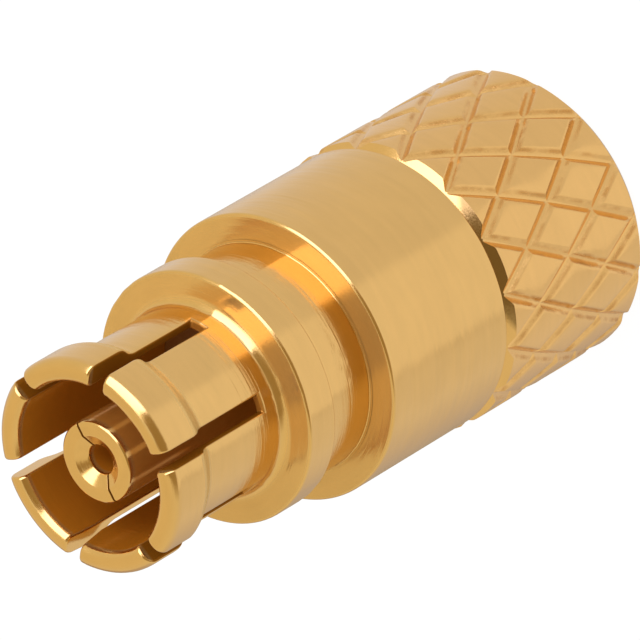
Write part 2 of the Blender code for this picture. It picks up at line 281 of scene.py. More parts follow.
def principled(name, **constants):
    """A material with its Principled shader, and a wire to start expressions from."""
    material = bpy.data.materials.new(name)
    material.use_nodes = True
    shader = material.node_tree.nodes["Principled BSDF"]
    for key, value in constants.items():
        shader.inputs[key.replace("_", " ")].default_value = value
    return material, shader, Wire(material.node_tree)


def slope(value, zero, one, kind="LINEAR"):
    """A factor that goes from 0 to 1 as the value goes between two bounds, in either order."""
    settings = {"interpolation_type": kind}
    return value.node("ShaderNodeMapRange", settings, {0: value, 1: zero, 2: one})


def noise(wire, place, scale, detail=2.0):
    """Noise between 0 and 1 at so many features a millimetre."""
    inputs = {"Vector": place, "Scale": scale, "Detail": detail}
    return wire.node("ShaderNodeTexNoise", {}, inputs)


SIDE_TONE = (0.79, 0.52, 0.190, 1.0)
FACE_TONE = (0.780, 0.472, 0.145, 1.0)
TONE_LEAST = 0.9
CLOUD_SCALE = 2.6
CLOUD_TONE = 0.08
CLOUD_ROUGHNESS = 0.1
STREAK_SCALE = 9.0
STREAK_DRIFT = 0.25
STREAK_TONE = 0.12
STREAK_ROUGHNESS = 0.12
FINE_RINGS = 170.0
COARSE_RINGS = 22.0
COARSE_SHARE = 0.2
RING_DRIFT = 0.012
GRAIN_SCALE = 60.0
# Painted shade for narrow hollows: a dark brown, less metallic there, a faint painted glow for
# bounce light, and more painted shade on walls.
PAINTED_HOLLOW_SHADE = (0.47, 0.165, 0.012, 1.0)
HOLLOW_SHADE_MATT = 0.75
PAINTED_HOLLOW_GLOW = 0.07
WALL_FROM, WALL_FULL = 0.6, 0.8
PAINTED_WALL_SHADE = 0.45
MATT_BLEND_Z = 0.1
SHOULDERS_END_Z = 6.30
SHOULDER_FROM, SHOULDER_FULL = 0.80, 0.95
SHOULDER_MATT = 0.40
LIP_REAR_Z = 7.20
LIP_REAR_FROM, LIP_REAR_FULL = -0.05, -0.30
LIP_REAR_MATT = 0.70


def gold(name, side, face, roughness, ring_tilt, grain_tilt, shade=None, painted_dark=None, glow=0.0):
    """Gold plating over a turned piece, in one tone on its sides and a deeper one on its faces.

    The tool leaves grooves that all run round the axis. A noise of radius and height, nearly the
    same all round, tilts the normal N along T x N, where T runs round the axis: on a face that
    spreads a reflection outwards, and on a side along the axis. A second, even grain tilts it
    every way. The shade is painted shade: how far a place goes to the dark brown of a narrow
    hollow, where gold only mirrors gold, darker again on walls that face round the axis. The glow
    is painted light: it makes that brown glow faintly, for the light that is passed on there many
    times. The painted dark is painted shade as well: how much of the tone a place loses. The
    shoulders and the lip's rear slope are partly matt.
    """
    material, shader, wire = principled(name, Specular_IOR_Level=0.0, Emission_Strength=glow)
    place = wire.node("ShaderNodeTexCoord", output="Object").scaled(1 / MM)
    flat = place.vector("MULTIPLY", place, (1.0, 1.0, 0.0))
    radius = wire.vector("LENGTH", flat, output="Value")
    x, y, z = place.parts()
    turn = wire.math("ARCTAN2", y, x)
    rings = wire.node("ShaderNodeCombineXYZ", {}, {"X": radius, "Y": z, "Z": turn * RING_DRIFT})
    fine = noise(wire, rings, FINE_RINGS, detail=3.0)
    coarse = noise(wire, rings, COARSE_RINGS, detail=2.0)
    around = wire.vector("NORMALIZE", wire.vector("CROSS_PRODUCT", (0.0, 0.0, 1.0), place))
    normal = wire.node("ShaderNodeNewGeometry", output="Normal")
    across = wire.vector("CROSS_PRODUCT", around, normal)
    tilt = (fine - 0.5) * ring_tilt + (coarse - 0.5) * (COARSE_SHARE * ring_tilt)
    tilted = wire.vector("ADD", normal, across.scaled(tilt))
    inputs = {"Vector": place, "Scale": GRAIN_SCALE}
    grain = wire.node("ShaderNodeTexNoise", {}, inputs, "Color")
    grain = wire.vector("SUBTRACT", grain, (0.5, 0.5, 0.5)).scaled(grain_tilt)
    tilted = wire.vector("NORMALIZE", wire.vector("ADD", tilted, grain))
    wire.feed(shader.inputs["Normal"], tilted)

    clouds = noise(wire, place, CLOUD_SCALE, detail=3.0)
    inputs = {"X": radius, "Y": z, "Z": turn * STREAK_DRIFT}
    stretched = wire.node("ShaderNodeCombineXYZ", {}, inputs)
    streaks = noise(wire, stretched, STREAK_SCALE, detail=4.0)
    facing = normal.parts()[2]
    bare = wire.rgb(side).mixed(facing * facing, face)
    tone = TONE_LEAST + clouds * CLOUD_TONE + streaks * STREAK_TONE
    plated = bare.scaled(tone)
    shoulder = slope(facing, SHOULDER_FROM, SHOULDER_FULL)
    shoulder = shoulder * slope(z, SHOULDERS_END_Z + MATT_BLEND_Z, SHOULDERS_END_Z)
    lip_rear = slope(facing, LIP_REAR_FROM, LIP_REAR_FULL)
    lip_rear = lip_rear * slope(z, LIP_REAR_Z, LIP_REAR_Z + MATT_BLEND_Z)
    matt = shoulder * SHOULDER_MATT + lip_rear * LIP_REAR_MATT
    # Painted shade: the painted dark takes away some of the tone.
    if painted_dark:
        plated = plated.scaled(1.0 - painted_dark(z, place, facing))
    # Painted shade in hollows: dark brown, darker on walls, less metallic, with a faint painted
    # glow standing in for light passed on inside.
    if shade:
        wall = wire.math("ABSOLUTE", wire.vector("DOT_PRODUCT", normal, around, output="Value"))
        hollow = shade(radius, z, wall, place)
        dimmed = 1.0 - slope(wall, WALL_FROM, WALL_FULL) * PAINTED_WALL_SHADE
        brown = wire.rgb(PAINTED_HOLLOW_SHADE).scaled(dimmed)
        plated = plated.mixed(hollow, brown)
        wire.feed(shader.inputs["Emission Color"], brown.scaled(hollow))
        matt = wire.math("MAXIMUM", matt, hollow * HOLLOW_SHADE_MATT)
    wire.feed(shader.inputs["Metallic"], 1.0 - matt)
    wire.feed(shader.inputs["Base Color"], plated)
    uneven = roughness + (clouds - 0.5) * CLOUD_ROUGHNESS + (streaks - 0.5) * STREAK_ROUGHNESS
    wire.feed(shader.inputs["Roughness"], uneven)
    return material


def saw_slot(name, outline, inner, outer, turns_deg):
    """Prisms that point straight out from the axis, one for each turn.

    A point (side, height) of the outline goes to (reach, side, height) turned round the axis, for
    both reaches.
    """
    side, height = np.array(outline).T
    turn = np.radians(turns_deg)[:, None, None]
    reach = np.array([inner, outer])[None, :, None]
    x = reach * np.cos(turn) - side * np.sin(turn)
    y = reach * np.sin(turn) + side * np.cos(turn)
    points = np.stack([x, y, np.broadcast_to(height, x.shape)], axis=-1)
    count = len(side)
    near = np.arange(count)
    sides = np.stack([np.roll(near, 1), near, near + count, np.roll(near, 1) + count], axis=-1)
    faces = []
    for prism in range(len(turns_deg)):
        first = 2 * count * prism
        faces += [(first + near[::-1]).tolist(), (first + count + near).tolist()]
        faces += (first + sides).tolist()
    return mesh_object(name, points, faces)


contact = turned(
    "centre_contact_work",
    rounded(
        [
            (0.0, PIN_END_Z, 0.0),
            (PIN_RADIUS, PIN_END_Z, 0.040),
            (PIN_RADIUS, CONTACT_SHOULDER_Z, 0.010),
            (SOCKET_RADIUS, CONTACT_SHOULDER_Z, 0.020),
            (SOCKET_RADIUS, SOCKET_FACE_Z, 0.040),
            (COUNTERSINK_RADIUS, SOCKET_FACE_Z, 0.050),
            (SOCKET_BORE, COUNTERSINK_END_Z, 0.040),
            (SOCKET_BORE, BORE_END_Z, 0.010),
            (0.0, BORE_POINT_Z, 0.0),
        ]
    ),
    even(PLAIN_COLUMNS),
)
slit_end = SOCKET_FACE_Z - SLIT_LENGTH
slit_half = SLIT_WIDTH / 2
slit = saw_slot(
    "socket_slit",
    [(slit_half, slit_end), (slit_half, TIP_Z), (-slit_half, TIP_Z), (-slit_half, slit_end)],
    -SOCKET_RADIUS - SLIT_WIDTH,
    SOCKET_RADIUS + SLIT_WIDTH,
    [SLIT_TURN_DEG],
)
cut(contact, slit)
break_edges(contact, CONTACT_EDGE)


def socket_shade(radius, z, wall, place):
    """Painted shade: brown in the bore and the slit, and mostly brown on the side below the rim."""
    bore = slope(radius, SOCKET_BORE + SHADE_FROM, SOCKET_BORE + SHADE_FULL)
    bore = bore * slope(z, COUNTERSINK_END_Z - SHADE_FROM, COUNTERSINK_END_Z - SHADE_DEPTH)
    side = slope(radius, SOCKET_RADIUS - SHADE_FROM, SOCKET_RADIUS - SHADE_FULL)
    side = side * slope(z, SOCKET_FACE_Z - SHADE_FROM, SOCKET_FACE_Z - SOCKET_SIDE_DEPTH)
    slit_wall = slope(wall, WALL_FROM, WALL_FULL)
    return bore.math("MAXIMUM", bore, bore.math("MAXIMUM", side * SOCKET_SIDE_SHADE, slit_wall))


contact_gold = gold(
    "contact_gold",
    SIDE_TONE,
    FACE_TONE,
    roughness=0.16,
    ring_tilt=0.30,
    grain_tilt=0.06,
    shade=socket_shade,
    glow=PAINTED_HOLLOW_GLOW,
)
finished(contact, "centre_contact", contact_gold)


# Bead: an amber polyetherimide disc that carries the centre contact in the hollow tail. It is
# turned from rod, pressed in against the shoulder, and seen only deep between the fingers.

BEAD_REAR_Z = 4.60
BEAD_BORE = 0.340
BEAD_RADIUS = 1.240
AMBER_DEEP = (0.38, 0.19, 0.045, 1.0)
AMBER_LIGHT = (0.46, 0.24, 0.06, 1.0)
AMBER_CLOUDS = 4.0
AMBER_RINGS = 30.0
AMBER_RING_DEPTH = 0.02


def amber_plastic():
    """Turned polyetherimide: dark amber, with faint rings from the tool."""
    material, shader, wire = principled("bead_amber", IOR=1.65, Roughness=0.42)
    place = wire.node("ShaderNodeTexCoord", output="Object").scaled(1 / MM)
    clouds = noise(wire, place, AMBER_CLOUDS)
    wire.feed(shader.inputs["Base Color"], wire.rgb(AMBER_DEEP).mixed(clouds, AMBER_LIGHT))
    flat = wire.vector("MULTIPLY", place, (1.0, 1.0, 0.0))
    rings = noise(wire, wire.vector("LENGTH", flat, output="Value"), AMBER_RINGS)
    inputs = {"Height": rings, "Strength": 0.2, "Distance": AMBER_RING_DEPTH * MM}
    wire.feed(shader.inputs["Normal"], wire.node("ShaderNodeBump", {}, inputs))
    return material


bead = turned(
    "bead_work",
    rounded(
        [
            (BEAD_BORE, BEAD_REAR_Z, 0.010),
            (BEAD_RADIUS, BEAD_REAR_Z, 0.020),
            (BEAD_RADIUS, BEAD_FRONT_Z, 0.030),
            (BEAD_BORE, BEAD_FRONT_Z, 0.020),
        ]
    ),
    even(PLAIN_COLUMNS),
)
finished(bead, "bead", amber_plastic())


# Outer contact: one turned beryllium copper piece with six springy fingers, the flange, the
# relief neck and the hollow tail, all gold plated. Saw slots part the fingers, and a few fingers
# are bent sideways, so some slots sit off their even turns and one is narrower.

FINGER_BORE = 1.085
FINGER_RADIUS = 1.220
LIP_RADIUS = 1.375
FLANGE_RADIUS = 1.630
NECK_RADIUS = 1.490
POCKET_RADIUS = 1.250
TAIL_END_Z = 3.58
NECK_FOOT_Z = 4.883
NECK_FOOT = 0.016
NECK_FOOT_ROUND = 0.9 * NECK_FOOT
NECK_FOOT_EDGE = 0.002
FLANGE_REAR_Z = 5.70
FLANGE_FRONT_Z = 6.17
SLOPE_END_Z = 7.58
LIP_END_Z = 7.735
SLOT_WIDTH = 0.215
SLOT_END_Z = 6.47
SLOT_EDGE = 0.040
SLOT_EDGE_STEPS = 4
CLOSER_SLOT_DEG = 297.2
SLOT_TURNS_DEG = np.array([-2.2, 60.0, 120.0, 180.3, 237.6, CLOSER_SLOT_DEG])
CLOSER_BY = 0.075
CLOSER_BACK_BY = 0.040
CLOSER_FROM_Z = 7.90
SLOT_CLEAR_DEG = 9.0
SLOT_CENTRE_DEG = 1.5
FINGER_COLUMNS = 13
FINGER_ROUND_STEPS = 7
# Painted shade on the slot walls is kept to the side facing the camera.
NEAR_SIDE = (0.03, 1.0, 0.0)
NEAR_FROM, NEAR_FULL = -0.85, -0.60
BORE_SHADE_FROM, BORE_SHADE_FULL = 0.06, 0.14
SLOT_END_FROM, SLOT_END_FULL = 0.06, 0.03
SLOT_END_SHADE = 0.8
UNDER_SKIN_FROM, UNDER_SKIN_FULL = 0.002, 0.012

to_next = np.diff(SLOT_TURNS_DEG, append=SLOT_TURNS_DEG[0] + 360.0)[:, None]
across_finger = np.linspace(0.0, 1.0, FINGER_COLUMNS)
columns_deg = np.concatenate(
    [
        SLOT_TURNS_DEG[:, None] + [[0.0]],
        SLOT_TURNS_DEG[:, None] + SLOT_CLEAR_DEG + (to_next - 2 * SLOT_CLEAR_DEG) * across_finger,
        SLOT_TURNS_DEG[:, None] + to_next - SLOT_CENTRE_DEG,
    ],
    axis=1,
).ravel()
fingers = turned(
    "outer_contact_work",
    rounded(
        [
            (POCKET_RADIUS, TAIL_END_Z, 0.010),
            (NECK_RADIUS, TAIL_END_Z, 0.020),
            (NECK_RADIUS, NECK_FOOT_Z - NECK_FOOT_EDGE, 0.0),
            (NECK_RADIUS + NECK_FOOT, NECK_FOOT_Z, 0.0),
            (NECK_RADIUS, NECK_FOOT_Z, NECK_FOOT_ROUND),
            (NECK_RADIUS, FLANGE_REAR_Z, 0.020),
            (FLANGE_RADIUS, FLANGE_REAR_Z, 0.025),
            (FLANGE_RADIUS, FLANGE_FRONT_Z, 0.045),
            (FINGER_RADIUS, FLANGE_FRONT_Z, 0.135),
            (FINGER_RADIUS, SLOPE_END_Z, 0.240),
            (LIP_RADIUS, LIP_END_Z, 0.240),
            (LIP_RADIUS, TIP_Z, 0.145),
            (FINGER_BORE, TIP_Z, 0.105),
            (FINGER_BORE, CONTACT_SHOULDER_Z, 0.010),
            (POCKET_RADIUS, CONTACT_SHOULDER_Z, 0.010),
        ],
        FINGER_ROUND_STEPS,
    ),
    columns_deg,
)
slot_half = SLOT_WIDTH / 2
slot_top = TIP_Z + SLOT_EDGE
slot_outline = [
    (slot_half, SLOT_END_Z), (slot_half, slot_top), (-slot_half, slot_top), (-slot_half, SLOT_END_Z)
]
inner_reach, outer_reach = FINGER_BORE - SLOT_WIDTH, LIP_RADIUS + SLOT_WIDTH
even_turns = SLOT_TURNS_DEG[SLOT_TURNS_DEG != CLOSER_SLOT_DEG]
slots = saw_slot("finger_slots", slot_outline, inner_reach, outer_reach, even_turns)
cut(fingers, slots)
closer_outline = [
    (slot_half - CLOSER_BY, SLOT_END_Z),
    (slot_half - CLOSER_BY, CLOSER_FROM_Z),
    (slot_half, slot_top),
    (-slot_half, slot_top),
    (CLOSER_BACK_BY - slot_half, CLOSER_FROM_Z),
    (CLOSER_BACK_BY - slot_half, SLOT_END_Z),
]
cut(fingers, saw_slot("closer_slot", closer_outline, inner_reach, outer_reach, [CLOSER_SLOT_DEG]))
break_edges(fingers, SLOT_EDGE, SLOT_EDGE_STEPS)


def finger_shade(radius, z, wall, place):
    """Painted shade: brown in the bore, the slot ends, and the slot walls on the camera's side."""
    bore = slope(radius, FINGER_BORE + SHADE_FROM, FINGER_BORE + SHADE_FULL)
    bore = bore * slope(z, TIP_Z - BORE_SHADE_FROM, TIP_Z - BORE_SHADE_FULL)
    near = place.vector("DOT_PRODUCT", place, NEAR_SIDE, output="Value")
    walls = slope(wall, WALL_FROM, WALL_FULL) * slope(near, NEAR_FROM, NEAR_FULL)
    walls = walls * slope(z, TIP_Z - SHADE_FROM, TIP_Z - SHADE_DEPTH)
    under_skin = slope(radius, FINGER_RADIUS - UNDER_SKIN_FROM, FINGER_RADIUS - UNDER_SKIN_FULL)
    slot_end = slope(z, SLOT_END_Z + SLOT_END_FROM, SLOT_END_Z + SLOT_END_FULL)
    slot_end = slot_end * under_skin * SLOT_END_SHADE
    return bore.math("MAXIMUM", bore, bore.math("MAXIMUM", walls, slot_end))


finger_gold = gold(
    "finger_gold",
    SIDE_TONE,
    FACE_TONE,
    roughness=0.15,
    ring_tilt=0.46,
    grain_tilt=0.05,
    shade=finger_shade,
    glow=PAINTED_HOLLOW_GLOW,
)
finished(fingers, "outer_contact", finger_gold)


# Bead bush, load socket, matching sleeve and ground plug: turned brass pieces with thin gold
# plating. They are pressed and soldered round the load, closed in by the barrel and the cap.

inner_gold = gold(
    "inner_gold", SIDE_TONE, FACE_TONE, roughness=0.28, ring_tilt=0.35, grain_tilt=0.08
)
for node in ("bead_bush", "load_socket", "matching_sleeve", "ground_plug"):
    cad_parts[node].material_slots[0].material = inner_gold


# Barrel: a turned brass sleeve, gold plated. Its front bore holds the contact's tail, and a
# spigot behind takes the rear cap.

SPIGOT_BORE = 1.150
SPIGOT_RADIUS = 1.450
SPIGOT_END_Z = 1.59
SEAM_Z = 2.70
BARREL_RADIUS = 1.857
BARREL_FRONT_Z = 4.88
TAIL_BORE = 1.500
TAIL_STEP_Z = 3.57
BARREL_EDGE = 0.002

barrel = turned(
    "barrel_work",
    rounded(
        [
            (SPIGOT_BORE, SPIGOT_END_Z, 0.010),
            (SPIGOT_RADIUS, SPIGOT_END_Z, 0.020),
            (SPIGOT_RADIUS, SEAM_Z, 0.010),
            (BARREL_RADIUS, SEAM_Z, 0.022),
            (BARREL_RADIUS, BARREL_FRONT_Z, 0.045),
            (TAIL_BORE, BARREL_FRONT_Z, 0.008),
            (TAIL_BORE, TAIL_STEP_Z, 0.010),
            (SPIGOT_BORE, TAIL_STEP_Z, 0.010),
        ]
    ),
)
break_edges(barrel, BARREL_EDGE)
barrel_gold = gold(
    "barrel_gold", SIDE_TONE, FACE_TONE, roughness=0.15, ring_tilt=0.46, grain_tilt=0.05
)
finished(barrel, "barrel", barrel_gold)


# Load: a fired alumina rod with a thin resistive film, tinned steel cups pressed over its ends,
# and a ring of soft solder at each joint.

CERAMIC_LIGHT, CERAMIC_DARK = (0.84, 0.82, 0.77, 1.0), (0.78, 0.76, 0.70, 1.0)
TIN_LIGHT, TIN_DARK = (0.74, 0.74, 0.72, 1.0), (0.66, 0.66, 0.65, 1.0)
SOLDER_LIGHT, SOLDER_DARK = (0.70, 0.70, 0.69, 1.0), (0.58, 0.58, 0.58, 1.0)
SPECKLE_DEPTH = 0.01


def speckled(name, light, dark, scale, rough, spread, **constants):
    """A finish of two tones in fine clouds, with a roughness that follows them."""
    material, shader, wire = principled(name, **constants)
    place = wire.node("ShaderNodeTexCoord", output="Object").scaled(1 / MM)
    clouds = noise(wire, place, scale, detail=4.0)
    wire.feed(shader.inputs["Base Color"], wire.rgb(light).mixed(clouds, dark))
    wire.feed(shader.inputs["Roughness"], rough + (clouds - 0.5) * spread)
    inputs = {"Height": clouds, "Strength": 0.3, "Distance": SPECKLE_DEPTH * MM}
    wire.feed(shader.inputs["Normal"], wire.node("ShaderNodeBump", {}, inputs))
    return material


alumina = speckled(
    "alumina", CERAMIC_LIGHT, CERAMIC_DARK, scale=18.0, rough=0.45, spread=0.2, IOR=1.7
)
tin = speckled("tin", TIN_LIGHT, TIN_DARK, scale=12.0, rough=0.35, spread=0.3, Metallic=1.0)
solder = speckled(
    "solder", SOLDER_LIGHT, SOLDER_DARK, scale=8.0, rough=0.25, spread=0.3, Metallic=1.0
)
finishes = {
    "resistor_rod": alumina,
    "resistor_front_cap": tin,
    "resistor_rear_cap": tin,
    "front_solder": solder,
    "rear_solder": solder,
}
for node, finish in finishes.items():
    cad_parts[node].material_slots[0].material = finish


# Rear cap: a closed brass cup with a diamond knurl, pressed on the barrel's spigot. The knurl is
# rolled before the ends are chamfered, so the chamfers cut its pads off in scallops.

KNURL_RADIUS = 1.898
KNURL_STARTS = 16
KNURL_ANGLE_DEG = 30.0
KNURL_DEPTH = 0.083
KNURL_HALF_GROOVE = 0.125
KNURL_TURN_DEG = 9.5
KNURL_INSET = 0.025
GROOVE_BOTTOM_ROUND = 0.22
GROOVE_EDGE_ROUND = 0.16
KNURL_TONE = (0.825, 0.530, 0.198, 1.0)
# Painted shade on the groove flanks, broken into patches.
KNURL_PATCHES = 3.4
KNURL_PATCH_FROM, KNURL_PATCH_FULL = 0.42, 0.64
KNURL_SHADE = 0.45
FLANK_TOP, FLANK_UPPER, FLANK_LOWER, FLANK_FOOT = 0.004, 0.022, 0.035, 0.055
SHADED_FRONT_FROM, SHADED_FRONT_FULL = 0.12, 0.18
SHADED_REAR_FROM, SHADED_REAR_FULL = 0.08, 0.14
# Painted dark reflection in the seam's scallops, on the side facing the camera.
SEAM_SIDE = (0.375, 0.927, 0.0)
SEAM_SIDE_FROM, SEAM_SIDE_FULL = 1.64, 1.70
SEAM_FACING_FROM, SEAM_FACING_FULL = 0.45, 0.60
SEAM_DEPTH_FROM, SEAM_DEPTH_FULL = 0.135, 0.125
SEAM_PAINTED_DARK = 0.50
CAP_BORE = 1.460
CAP_FLOOR_Z = 0.55
CAP_FRONT_Z = 2.69
CAP_FRONT_CHAMFER = 0.122
CAP_REAR_CHAMFER = 0.100
CAP_REAR_CHAMFER_DEG = 49.0


def knurled_bar(name):
    """A round bar with two crossed families of grooves, longer than the cap at both ends.

    With n starts, and the height z counted in pitches from a ring of crossings near the cap's
    front edge, u = n angle / 360 + z and v = n angle / 360 - z, and a groove runs wherever u or v
    is a whole number. With t the distance from the nearest groove in half groove widths, made
    sqrt(t^2 + b^2) to round the bottom, the depth is the full depth times the smooth positive
    part of 1 - t, and the deeper of the two grooves counts. The grid follows u and v.
    """
    near = KNURL_HALF_GROOVE * np.array([0.0, 0.2, 0.45, 0.7, 0.85, 1.0, 1.15, 1.4, 2.4])
    breaks = np.concatenate([near, [0.5], 1.0 - near[:0:-1]])
    per_cell = len(breaks)
    columns = KNURL_STARTS * per_cell
    crossing_z = SEAM_Z - KNURL_INSET
    spacing = 2 * math.pi * KNURL_RADIUS / KNURL_STARTS
    pitch = spacing / math.tan(math.radians(KNURL_ANGLE_DEG))
    lowest = -per_cell * (math.floor(2 * crossing_z / pitch) + 1)
    highest = per_cell * (math.floor(2 * KNURL_INSET / pitch) + 1)

    row, column = np.mgrid[lowest : highest + 1, 0:columns]
    step = row + column
    u = step // per_cell + breaks[step % per_cell]
    v = column // per_cell + breaks[column % per_cell]

    def depth(across):
        """How far the surface lies below the pads, by the formula above."""
        off = np.abs(across - np.round(across)) / KNURL_HALF_GROOVE
        inside = 1 - np.sqrt(off**2 + GROOVE_BOTTOM_ROUND**2) + GROOVE_BOTTOM_ROUND / 2
        return KNURL_DEPTH * (inside + np.sqrt(inside**2 + GROOVE_EDGE_ROUND**2)) / 2

    radius = KNURL_RADIUS - np.maximum(depth(u), depth(v))
    angle = math.radians(KNURL_TURN_DEG) + math.pi * (u + v) / KNURL_STARTS
    height = crossing_z + pitch * (u - v) / 2
    points = np.stack([radius * np.cos(angle), radius * np.sin(angle), height], axis=-1)

    def at(row, column):
        """The number of the point in a row and column of the grid, which closes on itself."""
        return (row - lowest) * columns + column % columns

    left, right = at(row, column), at(row, column + 1)
    above, below = at(row + 1, column), at(row - 1, column + 1)
    level = (step % per_cell < per_cell / 2) == (column % per_cell < per_cell / 2)
    level = level[..., None]
    lower = np.where(level, np.stack([left, below, right], -1), np.stack([left, below, above], -1))
    upper = np.where(level, np.stack([left, right, above], -1), np.stack([below, right, above], -1))
    inner = slice(1, -1)
    triangles = np.concatenate(
        [
            lower[inner].reshape(-1, 3),
            upper[inner].reshape(-1, 3),
            np.stack([left, right, above], -1)[0],
            np.stack([left, below, right], -1)[-1],
        ]
    )
    ends = [at(lowest, np.arange(columns))[::-1].tolist(), at(highest, np.arange(columns)).tolist()]
    return mesh_object(name, points, triangles.tolist() + ends)


oversize = KNURL_RADIUS + KNURL_DEPTH
front_edge = KNURL_RADIUS - CAP_FRONT_CHAMFER
rear_edge = KNURL_RADIUS - CAP_REAR_CHAMFER
rear_rise = (oversize - rear_edge) * math.tan(math.radians(CAP_REAR_CHAMFER_DEG))
cap = turned(
    "rear_cap_work",
    rounded(
        [
            (0.0, 0.0, 0.0),
            (rear_edge, 0.0, 0.020),
            (oversize, rear_rise, 0.0),
            (oversize, CAP_FRONT_Z - (oversize - front_edge), 0.0),
            (front_edge, CAP_FRONT_Z, 0.010),
            (CAP_BORE, CAP_FRONT_Z, 0.010),
            (CAP_BORE, CAP_FLOOR_Z, 0.020),
            (0.0, CAP_FLOOR_Z, 0.0),
        ]
    ),
)
cut(cap, knurled_bar("knurled_bar"), "INTERSECT")


def knurl_shade(radius, z, wall, place):
    """Painted shade: brown in broken lines on the groove flanks, between the two chamfers."""
    flank = slope(radius, KNURL_RADIUS - FLANK_TOP, KNURL_RADIUS - FLANK_UPPER)
    flank = flank * slope(radius, KNURL_RADIUS - FLANK_FOOT, KNURL_RADIUS - FLANK_LOWER)
    flank = flank * slope(z, CAP_FRONT_Z - SHADED_FRONT_FROM, CAP_FRONT_Z - SHADED_FRONT_FULL)
    flank = flank * slope(z, SHADED_REAR_FROM, SHADED_REAR_FULL)
    patches = noise(place, place, KNURL_PATCHES, detail=3.0)
    return flank * slope(patches, KNURL_PATCH_FROM, KNURL_PATCH_FULL) * KNURL_SHADE


def seam_painted_dark(z, place, facing):
    """Painted dark reflection: dark in the seam's scallops, on the side facing the camera."""
    seam = slope(facing, SEAM_FACING_FROM, SEAM_FACING_FULL)
    seam = seam * slope(z, CAP_FRONT_Z - SEAM_DEPTH_FROM, CAP_FRONT_Z - SEAM_DEPTH_FULL)
    side = place.vector("DOT_PRODUCT", place, SEAM_SIDE, output="Value")
    return seam * slope(side, SEAM_SIDE_FROM, SEAM_SIDE_FULL) * SEAM_PAINTED_DARK


cap_gold = gold(
    "cap_gold",
    KNURL_TONE,
    FACE_TONE,
    roughness=0.18,
    ring_tilt=0.24,
    grain_tilt=0.14,
    shade=knurl_shade,
    painted_dark=seam_painted_dark,
)
cap_piece = finished(cap, "rear_cap", cap_gold)
cap_piece.data.set_sharp_from_angle(angle=math.radians(CREASE_DEG))


# Floor: a wide sheet of white paper under the part, which stands on its rear face. It shows
# almost white to the camera, keeps part of the shadow, and is left out of the reflections.

FLOOR_HALF = 600.0
FLOOR_WHITE = (0.82, 0.82, 0.82, 1.0)
FIBRE_WHITE = (0.84, 0.84, 0.84, 1.0)
FIBRE_SCALE = 1.5
FLOOR_GLOW = 1.10
FLOOR_SHOWN = 0.85

floor = mesh_object(
    "floor",
    FLOOR_HALF * np.array([[-1, -1, 0], [1, -1, 0], [1, 1, 0], [-1, 1, 0]], dtype=float),
    [[0, 1, 2, 3]],
)
floor.data.transform(Matrix.Scale(MM, 4))
paper, paper_shader, wire = principled("paper", Roughness=0.9, Specular_IOR_Level=0.1)
place = wire.node("ShaderNodeTexCoord", output="Object").scaled(1 / MM)
fibres = noise(wire, place, FIBRE_SCALE, detail=4.0)
wire.feed(paper_shader.inputs["Base Color"], wire.rgb(FLOOR_WHITE).mixed(fibres, FIBRE_WHITE))
seen = wire.node("ShaderNodeLightPath", output="Is Camera Ray")
mirrored = wire.node("ShaderNodeLightPath", output="Is Glossy Ray")
passed = wire.node("ShaderNodeLightPath", output="Is Transmission Ray")
inputs = {"Color": (1.0, 1.0, 1.0, 1.0), "Strength": FLOOR_GLOW}
glow = wire.node("ShaderNodeEmission", {}, inputs)
lit = Wire(paper.node_tree, paper_shader.outputs[0])
shown = wire.node("ShaderNodeMixShader", {}, {0: (seen + passed) * FLOOR_SHOWN, 1: lit, 2: glow})
clear = wire.node("ShaderNodeBsdfTransparent")
sheet = wire.node("ShaderNodeMixShader", {}, {0: mirrored, 1: shown, 2: clear})
wire.feed(paper.node_tree.nodes["Material Output"].inputs["Surface"], sheet)
floor.data.materials.append(paper)


# Studio: an even white surround, one soft lamp from the upper left in front, and a tent of cloth
# panels with a bright screen, which only reflections show. The tent has a dark opening on the
# camera's side, as in the reflections of the photograph.

WORLD_LIGHT = 0.70
LAMP_AZIMUTH_DEG = -141.9
LAMP_ELEVATION_DEG = 42.4
LAMP_AIM = (0.0, 0.0, 4.0)
LAMP_DISTANCE = 90.0
LAMP_SIZE = 42.0
LAMP_RADIANCE = 3.2
SCREEN_RADIANCE = 3.9
SCREEN_TONE = (0.75, 0.74, 1.0, 1.0)
SCREEN_SIDES = [(-0.9943, -0.0467, -0.096), (0.5073, 0.7928, 0.339), (-0.2672, 0.9585, -0.094)]
SOFT_EDGE_FROM, SOFT_EDGE_FULL = -0.02, 0.04
CLOTH = (0.82, 0.76, 0.73)
DIM_SIDE = (0.46, 0.36, 0.25)
BRIGHT_SHEET = (0.95, 0.88, 0.84)
FOLD = (0.69, 0.62, 0.58)
HIGH_CLOTH = (0.85, 0.79, 0.66)
DARK_OPENING = (0.40, 0.30, 0.16)
TOP_TONE = (0.85, 0.85, 0.85, 1.0)
RISE_FROM, RISE_FULL = -0.20, 0.15
TOP_FROM, TOP_FULL = 0.975, 1.0
LOW_PANELS = [
    (-180.0, CLOTH),
    (-130.0, CLOTH),
    (-90.0, DIM_SIDE),
    (-25.0, CLOTH),
    (14.0, CLOTH),
    (17.0, FOLD),
    (20.0, BRIGHT_SHEET),
    (90.0, BRIGHT_SHEET),
    (96.0, CLOTH),
    (180.0, CLOTH),
]
HIGH_PANELS = [
    (-180.0, HIGH_CLOTH),
    (8.0, HIGH_CLOTH),
    (25.0, DARK_OPENING),
    (92.0, DARK_OPENING),
    (102.0, HIGH_CLOTH),
    (180.0, HIGH_CLOTH),
]

